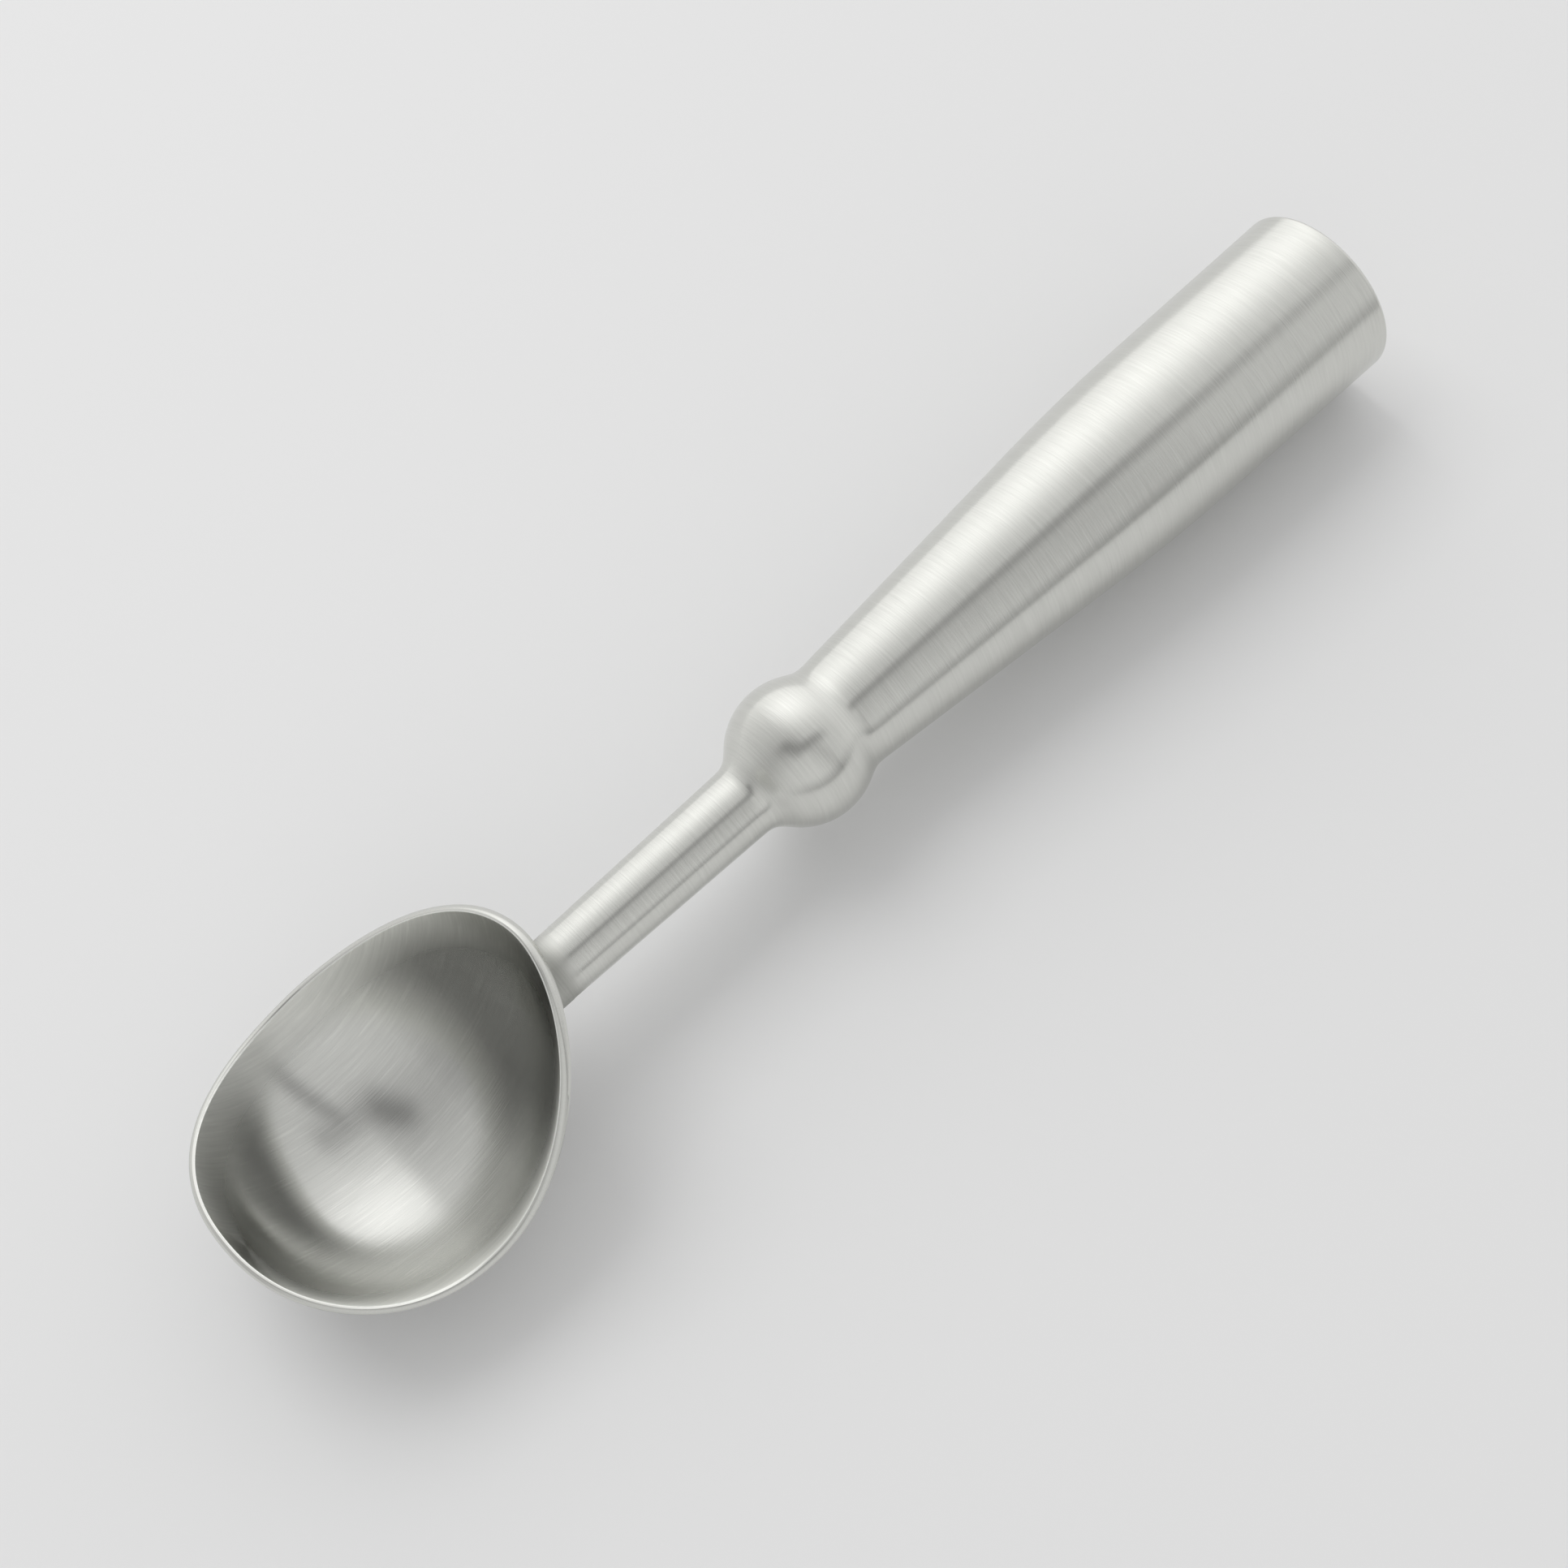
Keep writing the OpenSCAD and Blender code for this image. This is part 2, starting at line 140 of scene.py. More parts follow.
class ScoopBallSizes(PropertyGroup):
    diameter: size("Diameter", 0.016, "Diameter of the ball")
    neck_fillet: size("Neck fillet", 0.0024, "Radius of the hollow curve between ball and neck")
    handle_fillet: size("Handle fillet", 0.003, "Radius of the hollow curve between ball and handle")
    spigot_diameter: size("Spigot diameter", 0.007, "Diameter of the spigot behind the ball")
    spigot_length: size("Spigot length", 0.002, "Length of the spigot behind the ball")
    play: size("Play", 0.00001, "Play of the ball on the tang")
    easing: size("Easing", 0.0008, "Half length over which one curve of the outline eases into the next")


class ScoopHandleSizes(PropertyGroup):
    reach: size("Reach", 0.0792, "From the ball's centre to the handle's rear end")
    root_diameter: size("Root diameter", 0.0119, "Diameter the front taper would have at the ball's centre")
    taper_reach: size("Taper reach", 0.0476, "From the ball's centre to the end of the front taper")
    shoulder_diameter: size("Shoulder diameter", 0.0199, "Diameter at the end of the front taper")
    end_diameter: size("End diameter", 0.0205, "Diameter at the rear end")
    taper_blend: size("Taper blend", 0.0085, "Length over which the tapers blend, each side")
    end_round: size("End round", 0.0005, "Rounding of the rear edge")
    wall: size("Wall", 0.0012, "Wall of the front taper")
    nose: size("Nose", 0.004, "Thickness of the closed nose")
    nose_play: size("Nose play", 0.00005, "Play around tang and spigot in the nose")
    rear_wall: size("Rear wall", 0.0018, "Wall around the rear bore")
    cap_rim: size("Cap rim", 0.00105, "Rim around the cap's flange")
    flange_thickness: size("Flange thickness", 0.002, "Thickness of the cap's flange")
    plug_length: size("Plug length", 0.006, "Length of the cap's plug ahead of its flange")
    plug_hollow: size("Plug hollow", 0.004, "Depth of the hollow in the plug")
    plug_wall: size("Plug wall", 0.0026, "Wall left around that hollow")
    play: size("Play", 0.00002, "Play around the cap")
    cap_break: size("Cap break", 0.0002, "Broken edge of the cap")


class ScoopSteelLook(PropertyGroup):
    steel: colour("Steel", (0.687, 0.69, 0.655), "Colour of the ground steel")
    # Painted shade: the bowl's steel is darker than the same steel on its lip, to stand in for the darker
    # reflections inside the bowl
    shaded_bowl_steel: colour("Bowl steel", (0.647, 0.65, 0.622), "Colour of the bowl's steel")
    inner_steel: colour("Inner steel", (0.5, 0.51, 0.53), "Colour of the steel inside the handle")
    rubber: colour("Rubber", (0.02, 0.02, 0.02), "Colour of the seals")
    gloss_blur: share("Blur", 0.23, "Roughness of the turned steel")
    bowl_blur: share("Bowl blur", 0.2, "Roughness of the bowl's steel")
    # Painted shade: this darkens the colour of the bowl's back, where its reflections are dark
    painted_back_shade: share("Back shade", 0.53, "Brightness of the bowl's back, which the buff reached less")
    rim_blur: share("Rim blur", 0.42, "Roughness of the wall under the lip")
    # Painted sheen: this brightens the colour of the wall under the lip
    painted_rim_sheen: share("Rim shine", 1.4, "Brightness under the lip, where the buff reached most")
    drawn_out: share("Drawn out", 0.75, "How much wider the gloss is across the lines than along them")
    grain_width: size("Grain width", 0.00015, "Width of a grinding line")
    grain_length: size("Grain length", 0.005, "Length of a grinding line")
    grain_depth: size("Grain depth", 0.00008, "Depth of a grinding line")
    grain_strength: share("Grain strength", 0.2, "How much the grinding lines show")
    wide_share: share("Wide share", 0.35, "Share of the grinding lines that are twice as wide")
    scratch_strength: share("Scratch strength", 0.06, "How much the bowl's scratches show")
    cloud_size: size("Cloud size", 0.014, "Size of the patches that are a little more or less worn")
    cloud_strength: share("Cloud strength", 0.05, "How much those patches show")
    matt_run: size("Matt run", 0.006, "Length of the neck's matt end at the bowl")
    matt_blur: share("Matt blur", 3, "How much rougher that matt end is")
    pebble_size: size("Pebble size", 0.00017, "Size of the pebbles in the seals' skin")


class ScoopStageLook(PropertyGroup):
    floor: colour("Floor", (0.82, 0.82, 0.82), "Colour of the floor")
    wall_level: share("Wall level", 0.635, "Light from the room all round")
    wall_tilt: way("Wall tilt", (0.22, 0.29, -0.28), "How much lighter the room gets along each axis")
    key_level: share("Key level", 0.64, "Light from the middle of the main glow, over the room's")
    key_from: way("Key from", (0.304, 0.644, 0.702), "Direction of the main glow")
    key_tightness: share("Key tightness", 5.6, "How fast the main glow fades from its middle")
    key_edge: share("Key edge", -0.04, "Where the main glow is cut off, along X")
    key_beyond: share("Key beyond", 0.19, "Share of the main glow left beyond its edge")
    fill_level: share("Fill level", 0.575, "Light from the middle of the second glow, over the room's")
    fill_from: way("Fill from", (-0.41, -0.785, 0.465), "Direction of the second glow")
    fill_tightness: share("Fill tightness", 1.5, "How fast the second glow fades from its middle")
    patch_start: way("Patch start", (-0.4, -0.02, 0), "Where the dark patch overhead starts")
    patch_end: way("Patch end", (-0.22, -0.28, 0), "Where that patch ends")
    patch_width: share("Patch width", 0.17, "Half width of that patch")
    patch_share: share("Patch share", 0.37, "Share of the light left in that patch")
    bar_start: way("Bar start", (-0.1, -0.36, 0), "Where the dark bar beside the patch starts")
    bar_end: way("Bar end", (0.4, -0.37, 0), "Where that bar ends")
    bar_width: share("Bar width", 0.12, "Half width of that bar")
    bar_share: share("Bar share", 0.52, "Share of the light left in that bar")
    pole_start: way("Pole start", (0.1, -0.36, 0), "Where the dark pole under the bar starts")
    pole_end: way("Pole end", (0.33, -0.95, 0), "Where that pole ends")
    pole_width: share("Pole width", 0.09, "Half width of that pole")
    pole_share: share("Pole share", 0.55, "Share of the light left in that pole")
    haze_start: way("Haze start", (-0.97, 0.07, 0), "Where the wide dark haze on the bowl's side starts")
    haze_width: share("Haze width", 0.3, "Half width of that haze, which runs to the patch")
    haze_share: share("Haze share", 0.86, "Share of the light left in that haze")
    skirting_share: share("Skirting share", 0.6, "Share of the light left low down on the camera's side")
    window_power: share("Window power", 1.2, "Power in watts of the lamp on the floor's lit side")
    window_at: place("Window", (0, 0.42, 0.62), "Where that lamp stands")
    window_size: size("Window size", 0.42, "Width of that lamp")
    floor_size: size("Floor size", 3, "Width of the floor")
    camera_at: place("Camera", (-0.051181, -0.086356, 0.226888), "Where the camera stands")
    camera_roll: angle("Camera roll", 23.2931, "Turn of the camera about X")
    camera_lean: angle("Camera lean", 6.4975, "Turn of the camera about Y")
    camera_turn: angle("Camera turn", -42.9669, "Turn of the camera about Z")
    lens: share("Lens", 52.17, "Focal length in millimetres on a 36 millimetre sensor")


# Tries to find where a line comes out of the bowl's back, each nearer than the one before
MEETING_TRIES = 12
# Where the neck's straight outline starts, against its diameter at the bowl
NECK_OUTLINE_START = 1 / 3
# How softly the main glow is cut off, each side of its edge
KEY_EDGE_SPREAD = 0.08
# Where a dark shape overhead starts and stops fading, against its half width
SHAPE_CORE = 0.25
SHAPE_FADE = 1.5
# Heights and sides between which the room's darker foot fades out
SKIRTING_LOW, SKIRTING_TOP = 0.05, 0.3
SKIRTING_FULL, SKIRTING_NONE = -0.9, -0.5
# Where the painted shade on the bowl's back starts and where it is full, against the lip's back reach
PAINTED_BACK_SHADE_PARTS = 0.3, 0.62
# Where a painted sheen brightens the wall under the lip, and where the wall gets rougher there, from the
# bottom at 0 to the lip at 1
PAINTED_SHEEN_START = 0.8
RIM_BLUR_START = 0.7
# Which of the wide grinding lines show as scratches
SCRATCH_START, SCRATCH_FULL = 0.58, 0.7
# Range in which most of a noise lies, and how finely it is broken up
NOISE_LOW, NOISE_HIGH = 0.3, 0.7
GRAIN_DETAIL = 3
PATCH_DETAIL = 2
# Share of the grinding lines' strength that goes to their colour, and that the lip has
TONE_SHARE = 0.3
LIP_GRAIN_SHARE = 1 / 3
# Turn of the drawn-out gloss where the lines run round the axis, in whole turns
ROUND_LINES_TURN = 0.25
# Part of the matt run after which it starts to fade out
MATT_FADE_START = 2 / 3
# Relief, brightness and roughness of the inner steel and of the rubber, from low to high places
INNER_RELIEF = 0.2
INNER_TONE = 0.85, 1.1
INNER_BLUR = 0.3, 0.45
RUBBER_RELIEF = 0.3
RUBBER_TONE = 0.8, 1.2
RUBBER_BLUR = 0.65, 0.8
FLOOR_BLUR = 0.9
CAMERA_CLIP_START = 0.01
PIECE_SIZES = {
    "scoop_bowl": ScoopBowlSizes,
    "scoop_neck": ScoopNeckSizes,
    "scoop_ball": ScoopBallSizes,
    "scoop_handle": ScoopHandleSizes,
    "scoop_steel": ScoopSteelLook,
    "scoop_stage": ScoopStageLook,
}


def end_face():
    """The handle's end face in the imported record: its middle and the way it faces."""
    mounts = {mount["name"]: mount for mount in frame["record"]["mounts"]}
    face = mounts["end_face"]
    return Vector(face["pos_m"]), Vector(face["axis"]).normalized()


def lying(handle_reach):
    """From the neck's axis, with the ball's centre at the origin, to how the scoop lies."""
    face, along = end_face()
    lean = math.atan2(-along.z, along.x)
    return Matrix.Translation(face - along * handle_reach) @ Matrix.Rotation(lean, 4, "Y")


# Form of the bowl, where angle 0 points to the neck and pi to the front


def lip_inside(bowl, turn):
    behind = math.cos(turn) > 0
    long = bowl.lip_back if behind else bowl.lip_front
    fullness = bowl.back_fullness if behind else bowl.front_fullness
    ahead = abs(math.cos(turn) / long) ** fullness
    aside = abs(math.sin(turn) / (bowl.lip_width / 2)) ** fullness
    return (ahead + aside) ** (-1 / fullness)


def lip_height(bowl, turn):
    ahead = lip_inside(bowl, turn) * math.cos(turn) + bowl.dip_ahead
    return ahead * ahead / (2 * bowl.lip_sweep) - bowl.lip_drop


def lip_wall(bowl, turn):
    middle = (bowl.lip_front_wall + bowl.lip_back_wall) / 2
    return middle + (bowl.lip_back_wall - bowl.lip_front_wall) / 2 * math.cos(turn)


class Skin:
    """The inside or the outside of the bowl: round at the bottom, the lip's egg shape at the top."""

    def __init__(self, bowl, outside):
        self.bowl = bowl
        self.outside = outside
        self.belt = bowl.belt_rise - bowl.lip_drop
        self.depth = bowl.belt_rise + bowl.depth + (bowl.wall if outside else 0)
        self.low = self.belt - self.depth
        self.back_height = lip_height(bowl, 0)
        side = math.pi / 2
        self.round_reach = self.reach(side) / self.girth(lip_height(bowl, side))

    def reach(self, turn):
        return lip_inside(self.bowl, turn) + (lip_wall(self.bowl, turn) if self.outside else 0)

    def girth(self, height):
        if height >= self.belt:
            return 1
        return math.sqrt(max(0, 1 - ((self.belt - height) / self.depth) ** 2))

    def egg(self, height):
        part = (height - self.low) / (self.back_height - self.low)
        return part * part * (3 - 2 * part)

    def radius(self, turn, height):
        lip = lip_height(self.bowl, turn)
        egg_reach = (self.reach(turn) / self.girth(lip) - self.round_reach) / self.egg(lip)
        return self.girth(height) * (self.round_reach + egg_reach * self.egg(height))

    def top(self, turn):
        fall = self.bowl.lip_slope * lip_wall(self.bowl, turn) if self.outside else self.bowl.lip_break
        return lip_height(self.bowl, turn) - fall

    def height(self, turn, part):
        """Height at a part of the way from the bottom to the lip."""
        top = self.top(turn)
        if top < self.belt:
            full = math.acos((self.belt - top) / self.depth)
        else:
            full = math.pi / 2 + (top - self.belt) / self.depth
        swing = full * part
        if swing < math.pi / 2:
            return self.belt - self.depth * math.cos(swing)
        return self.belt + self.depth * (swing - math.pi / 2)

    def point(self, turn, height):
        radius = self.radius(turn, height)
        ahead = self.bowl.bottom_ahead * (1 - self.egg(height) / self.egg(lip_height(self.bowl, turn)))
        return Vector((radius * math.cos(turn) - ahead - self.bowl.reach, radius * math.sin(turn), height))

    def ring(self, part):
        return [self.point(turn, self.height(turn, part)) for turn in turns(BOWL_PLACES)]

    def meets(self, across, height):
        """Distance along the neck's axis at which a line beside it comes out of the bowl's back."""
        turn = 0
        for _ in range(MEETING_TRIES):
            turn = math.asin(across / self.radius(turn, height))
        return self.point(turn, height).x


def turns(count):
    return [2 * math.pi * i / count for i in range(count)]


# Meshes from rings of points


def ring_faces(count, places, closed=False):
    """Faces between rings that follow each other, and from the last to the first in a closed stack."""
    faces = []
    for k in range(count if closed else count - 1):
        low = k * places
        high = (k + 1) % count * places
        for i in range(places):
            j = (i + 1) % places
            faces.append((low + i, low + j, high + j, high + i))
    return faces


def piece(name, points, faces, matrix, materials, replaced, choose=None):
    """A mesh piece in place, which stands for CAD nodes and rides on the scoop."""
    mesh = bpy.data.meshes.new(name)
    mesh.from_pydata([matrix @ point for point in points], [], faces)
    mesh.validate()
    mesh.shade_smooth()
    mesh.set_sharp_from_angle(angle=SHARP_ANGLE)
    for material in materials:
        mesh.materials.append(material)
    if choose:
        for polygon in mesh.polygons:
            polygon.material_index = choose(polygon.index)
    shape = bpy.data.objects.new(name, mesh)
    bpy.context.scene.collection.objects.link(shape)
    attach(shape, "root")
    if replaced:
        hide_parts(*replaced)
    return shape


def turned_piece(name, points, faces, form, node):
    """A piece in turned steel that stands for one CAD node."""
    steel = shared("turned_steel", turned_steel, bpy.context.scene.scoop_steel)
    return piece(name, points, faces, form.matrix, [steel], [node])


def turned_points(outline):
    """Rings of a turned piece, whose outline holds distances from the axis and along it."""
    points = []
    for radius, along in outline:
        for turn in turns(TURNED_PLACES):
            points.append(Vector((along, radius * math.sin(turn), radius * math.cos(turn))))
    return points


def arc(middle, radius, start, end):
    """Points of an arc, by angle from the way to the handle."""
    steps = math.ceil(abs(end - start) / ARC_STEP)
    angles = [start + (end - start) * i / steps for i in range(steps + 1)]
    return [(middle[0] + radius * math.sin(a), middle[1] + radius * math.cos(a)) for a in angles]


def divided(outline, step):
    """The outline with its long stretches divided, so that they shade evenly."""
    result = []
    for (r0, x0), (r1, x1) in zip(outline, outline[1:]):
        count = max(1, round(math.hypot(r1 - r0, x1 - x0) / step))
        for i in range(count):
            result.append((r0 + (r1 - r0) * i / count, x0 + (x1 - x0) * i / count))
    return result + [outline[-1]]


class Turned:
    """Sizes of the turned pieces along the neck's axis, worked out from the settings."""

    def __init__(self, scene):
        bowl, neck, ball, handle = scene.scoop_bowl, scene.scoop_neck, scene.scoop_ball, scene.scoop_handle
        self.matrix = lying(handle.reach)
        self.outer_skin = Skin(bowl, True)
        self.ball = ball
        self.back = self.outer_skin.meets(0, 0)
        self.ball_radius = ball.diameter / 2
        self.neck_slope = (neck.bowl_diameter - neck.ball_diameter) / 2 / (self.back + self.ball_radius)
        self.neck_root = neck.ball_diameter / 2 + self.neck_slope * self.ball_radius
        self.shoulder = handle.shoulder_diameter / 2
        self.taper_slope = (self.shoulder - handle.root_diameter / 2) / handle.taper_reach
        self.end_radius = handle.end_diameter / 2
        self.rear_slope = (self.end_radius - self.shoulder) / (handle.reach - handle.taper_reach)
        self.taper_root = handle.root_diameter / 2
        self.neck_hollow = self.hollow_middle(self.neck_root, self.neck_slope, ball.neck_fillet, -1)
        self.handle_hollow = self.hollow_middle(self.taper_root, self.taper_slope, ball.handle_fillet, 1)
        self.neck_end = self.hollow_foot(self.neck_hollow, self.neck_slope, ball.neck_fillet)
        self.joint = self.hollow_foot(self.handle_hollow, self.taper_slope, ball.handle_fillet)

    def start(self, across, height):
        """Where a line beside the neck's axis starts, just inside the bowl's wall."""
        return self.outer_skin.meets(across, height) - self.outer_skin.bowl.bite

    def neck_radius(self, along):
        return self.neck_root + self.neck_slope * along

    def taper_radius(self, along):
        return self.taper_root + self.taper_slope * along

    def hollow_middle(self, root, slope, radius, side):
        """Middle of the hollow curve between the ball and a straight outline on one side of it."""
        square = 1 + slope * slope
        lifted = root + radius * math.sqrt(square)
        rest = lifted * lifted - (self.ball_radius + radius) ** 2
        along = (side * math.sqrt((lifted * slope) ** 2 - square * rest) - lifted * slope) / square
        return lifted + slope * along, along

    def hollow_foot(self, middle, slope, radius):
        return middle[1] + radius * slope / math.sqrt(1 + slope * slope)

    def hollow_touch(self, middle, radius):
        """Where a hollow curve meets the ball."""
        return middle[1] * self.ball_radius / (self.ball_radius + radius)

    def outline_radius(self, along):
        """Radius of neck, hollow curves, ball or front taper at a place along the axis."""
        if along <= self.neck_end:
            return self.neck_radius(along)
        if along >= self.joint:
            return self.taper_radius(along)
        hollow, radius = self.neck_hollow, self.ball.neck_fillet
        if along > 0:
            hollow, radius = self.handle_hollow, self.ball.handle_fillet
        if abs(along) < abs(self.hollow_touch(hollow, radius)):
            return math.sqrt(self.ball_radius ** 2 - along ** 2)
        return hollow[0] - math.sqrt(radius ** 2 - (along - hollow[1]) ** 2)

    def eased_radius(self, along):
        """Mean radius on both sides of a place, which rounds off each change of curve."""
        steps = [2 * sample / EASING_SAMPLES - 1 for sample in range(EASING_SAMPLES + 1)]
        return sum(self.outline_radius(along + self.ball.easing * step) for step in steps) / len(steps)

    def eased(self, start, end, step):
        """Points of the eased outline between two places along the axis."""
        count = math.ceil((end - start) / step)
        places = [start + (end - start) * i / count for i in range(count + 1)]
        return [(self.eased_radius(along), along) for along in places]


# Finishes


def add_node(tree, kind, **values):
    """A shader node with its settings, and with its inputs set or linked by name."""
    node = tree.nodes.new(kind)
    for key, value in values.pop("settings", {}).items():
        setattr(node, key, value)
    for key, value in values.items():
        feed(tree, node.inputs[key.replace("_", " ")], value)
    return node


def feed(tree, socket, value):
    """Links a socket to another node's output, or sets it."""
    if isinstance(value, bpy.types.NodeSocket):
        tree.links.new(value, socket)
    else:
        socket.default_value = value


def sums(tree, operation, *values):
    """The result of a Math node."""
    node = add_node(tree, "ShaderNodeMath", settings={"operation": operation})
    for socket, value in zip(node.inputs, values):
        feed(tree, socket, value)
    return node.outputs[0]


def vector_sums(tree, operation, *values):
    """The result of a Vector Math node, which is a number for a dot product and for a length."""
    node = add_node(tree, "ShaderNodeVectorMath", settings={"operation": operation})
    for socket, value in zip(node.inputs, values):
        feed(tree, socket, value)
    return node.outputs["Value" if operation in ("DOT_PRODUCT", "LENGTH") else "Vector"]


def scaled(tree, colour_value, factor):
    node = add_node(
        tree, "ShaderNodeVectorMath", settings={"operation": "SCALE"},
        Vector=tuple(colour_value), Scale=factor
    )
    return node.outputs["Vector"]


def ranged(tree, value, low, high, start=NOISE_LOW, end=NOISE_HIGH):
    """A value carried from one range to another."""
    node = add_node(
        tree, "ShaderNodeMapRange", Value=value, From_Min=start, From_Max=end, To_Min=low, To_Max=high
    )
    return node.outputs[0]


def noise(tree, position, scale, detail):
    node = add_node(tree, "ShaderNodeTexNoise", Vector=position, Scale=scale, Detail=detail)
    return node.outputs["Fac"]


def start_material(name):
    material = bpy.data.materials.new(name)
    material.use_nodes = True
    tree = material.node_tree
    tree.nodes.clear()
    return material, tree


def finish_material(tree, shader):
    add_node(tree, "ShaderNodeOutputMaterial", Surface=shader.outputs[0])


def shared(name, make, *values):
    """One material for every piece of that finish."""
    return bpy.data.materials.get(name) or make(name, *values)


def along_neck(tree):
    """Where a point lies, with x along the neck's axis."""
    here = add_node(tree, "ShaderNodeTexCoord").outputs["Object"]
    _, along = end_face()
    lean = math.atan2(-along.z, along.x)
    level = add_node(
        tree, "ShaderNodeVectorRotate", settings={"rotation_type": "Y_AXIS"}, Vector=here, Angle=-lean
    )
    return level.outputs[0]


def grain(tree, position, narrow, width, length):
    """Noise drawn out into grinding lines, which are narrow along the marked axes."""
    stretch = [1 / width if across else 1 / length for across in narrow]
    return noise(tree, vector_sums(tree, "MULTIPLY", position, stretch), 1, GRAIN_DETAIL)


def ground_steel(name, look, steel, place_lines, narrow, turn, lines, blur, shade=None, scratch=0):
    """Steel with grinding lines that are narrow along the marked axes of its position."""
    material, tree = start_material(name)
    position = place_lines(tree)
    fine = grain(tree, position, narrow, look.grain_width, look.grain_length)
    wide = grain(tree, position, narrow, look.grain_width * 2, look.grain_length)
    streaks = add_node(tree, "ShaderNodeMix", Factor=look.wide_share, A=fine, B=wide).outputs[0]
    cloud = noise(tree, along_neck(tree), 1 / look.cloud_size, PATCH_DETAIL)
    worn = ranged(tree, cloud, 1 - look.cloud_strength, 1 + look.cloud_strength)
    scratches = ranged(tree, wide, 0, scratch, SCRATCH_START, SCRATCH_FULL)
    tint = lines * TONE_SHARE
    tone = sums(tree, "ADD", ranged(tree, streaks, 1 - tint, 1 + tint), scratches)
    relief = add_node(tree, "ShaderNodeBump", Strength=lines, Distance=look.grain_depth, Height=streaks)
    tangent = add_node(tree, "ShaderNodeTangent", settings={"direction_type": "RADIAL", "axis": "X"})
    # Painted light: shade, which only the bowl has, scales the steel's colour by place
    if shade:
        tone = sums(tree, "MULTIPLY", tone, shade(tree))
    shader = add_node(
        tree, "ShaderNodeBsdfPrincipled",
        Base_Color=scaled(tree, steel, tone),
        Metallic=1,
        Roughness=sums(tree, "MULTIPLY", worn, blur(tree)),
        Anisotropic=look.drawn_out,
        Anisotropic_Rotation=turn,
        Normal=relief.outputs[0],
        Tangent=tangent.outputs[0],
    )
    finish_material(tree, shader)
    return material


def turned_steel(name, look):
    """Lines round the axis, and matt where the neck was ground after welding."""
    def blur(tree):
        scene = bpy.context.scene
        face, along = end_face()
        start = face.dot(along) + Turned(scene).back - scene.scoop_handle.reach
        x = add_node(tree, "ShaderNodeSeparateXYZ", Vector=along_neck(tree)).outputs["X"]
        fade = start + look.matt_run * MATT_FADE_START
        matt = ranged(tree, x, look.matt_blur, 1, fade, start + look.matt_run)
        return sums(tree, "MULTIPLY", matt, look.gloss_blur)
    return ground_steel(
        name, look, look.steel, along_neck, (True, False, False), ROUND_LINES_TURN,
        look.grain_strength, blur
    )


def near_lip(tree, low, high, start):
    """A value that changes up the bowl's wall, from a place on it to the lip."""
    nearness = add_node(tree, "ShaderNodeAttribute", settings={"attribute_name": "lip_nearness"})
    return ranged(tree, nearness.outputs["Fac"], low, high, start, 1)


def pressed_steel(name, look):
    """Lines along the neck's axis, with painted shade darkening the bowl's back, and a painted sheen and a
    rougher finish under its lip.
    """
    def blur(tree):
        return near_lip(tree, look.bowl_blur, look.rim_blur, RIM_BLUR_START)

    # Painted light on the bowl: a darker back and a brighter wall under the lip
    def shade(tree):
        scene = bpy.context.scene
        bowl = scene.scoop_bowl
        face, along = end_face()
        middle = face.dot(along) - bowl.reach - scene.scoop_handle.reach
        x = add_node(tree, "ShaderNodeSeparateXYZ", Vector=along_neck(tree)).outputs["X"]
        start, full = (middle + bowl.lip_back * part for part in PAINTED_BACK_SHADE_PARTS)
        # Painted shade: the bowl's back is made darker in colour
        painted_dark_back = ranged(tree, x, 1, look.painted_back_shade, start, full)
        # Painted sheen: the wall under the lip is made brighter in colour
        return near_lip(tree, painted_dark_back, look.painted_rim_sheen, PAINTED_SHEEN_START)
    lines, scratch = look.grain_strength, look.scratch_strength
    return ground_steel(
        name, look, look.shaded_bowl_steel, along_neck, (False, True, False), 0, lines, blur, shade, scratch
    )


def lip_steel(name, look):
    """Short lines across the lip."""
    def round_bowl(tree):
        scene = bpy.context.scene
        middle = Turned(scene).matrix @ Vector((-scene.scoop_bowl.reach, 0, 0))
        here = add_node(tree, "ShaderNodeTexCoord").outputs["Object"]
        apart = vector_sums(tree, "SUBTRACT", here, middle)
        parts = add_node(tree, "ShaderNodeSeparateXYZ", Vector=apart)
        turn = sums(tree, "ARCTAN2", parts.outputs["Y"], parts.outputs["X"])
        around = sums(tree, "MULTIPLY", turn, scene.scoop_bowl.lip_width / 2)
        away = vector_sums(tree, "LENGTH", apart)
        return add_node(tree, "ShaderNodeCombineXYZ", X=around, Y=away).outputs[0]
    return ground_steel(
        name, look, look.steel, round_bowl, (True, False, False), 0,
        look.grain_strength * LIP_GRAIN_SHARE, lambda tree: look.gloss_blur
    )


def inner_steel(name, look):
    """Plain machined steel of the pieces inside the handle."""
    material, tree = start_material(name)
    marks = grain(tree, along_neck(tree), (True, False, False), look.grain_width, look.grain_length)
    relief = add_node(
        tree, "ShaderNodeBump", Strength=INNER_RELIEF, Distance=look.grain_depth, Height=marks
    )
    shader = add_node(
        tree, "ShaderNodeBsdfPrincipled",
        Base_Color=scaled(tree, look.inner_steel, ranged(tree, marks, *INNER_TONE)),
        Metallic=1,
        Roughness=ranged(tree, marks, *INNER_BLUR),
        Normal=relief.outputs[0],
    )
    finish_material(tree, shader)
    return material


def seal_rubber(name, look):
    """Matt black rubber with a fine pebble."""
    material, tree = start_material(name)
    pebble = noise(tree, along_neck(tree), 1 / look.pebble_size, PATCH_DETAIL)
    relief = add_node(
        tree, "ShaderNodeBump", Strength=RUBBER_RELIEF, Distance=look.grain_depth, Height=pebble
    )
    shader = add_node(
        tree, "ShaderNodeBsdfPrincipled",
        Base_Color=scaled(tree, look.rubber, ranged(tree, pebble, *RUBBER_TONE)),
        Roughness=ranged(tree, pebble, *RUBBER_BLUR),
        Normal=relief.outputs[0],
    )
    finish_material(tree, shader)
    return material


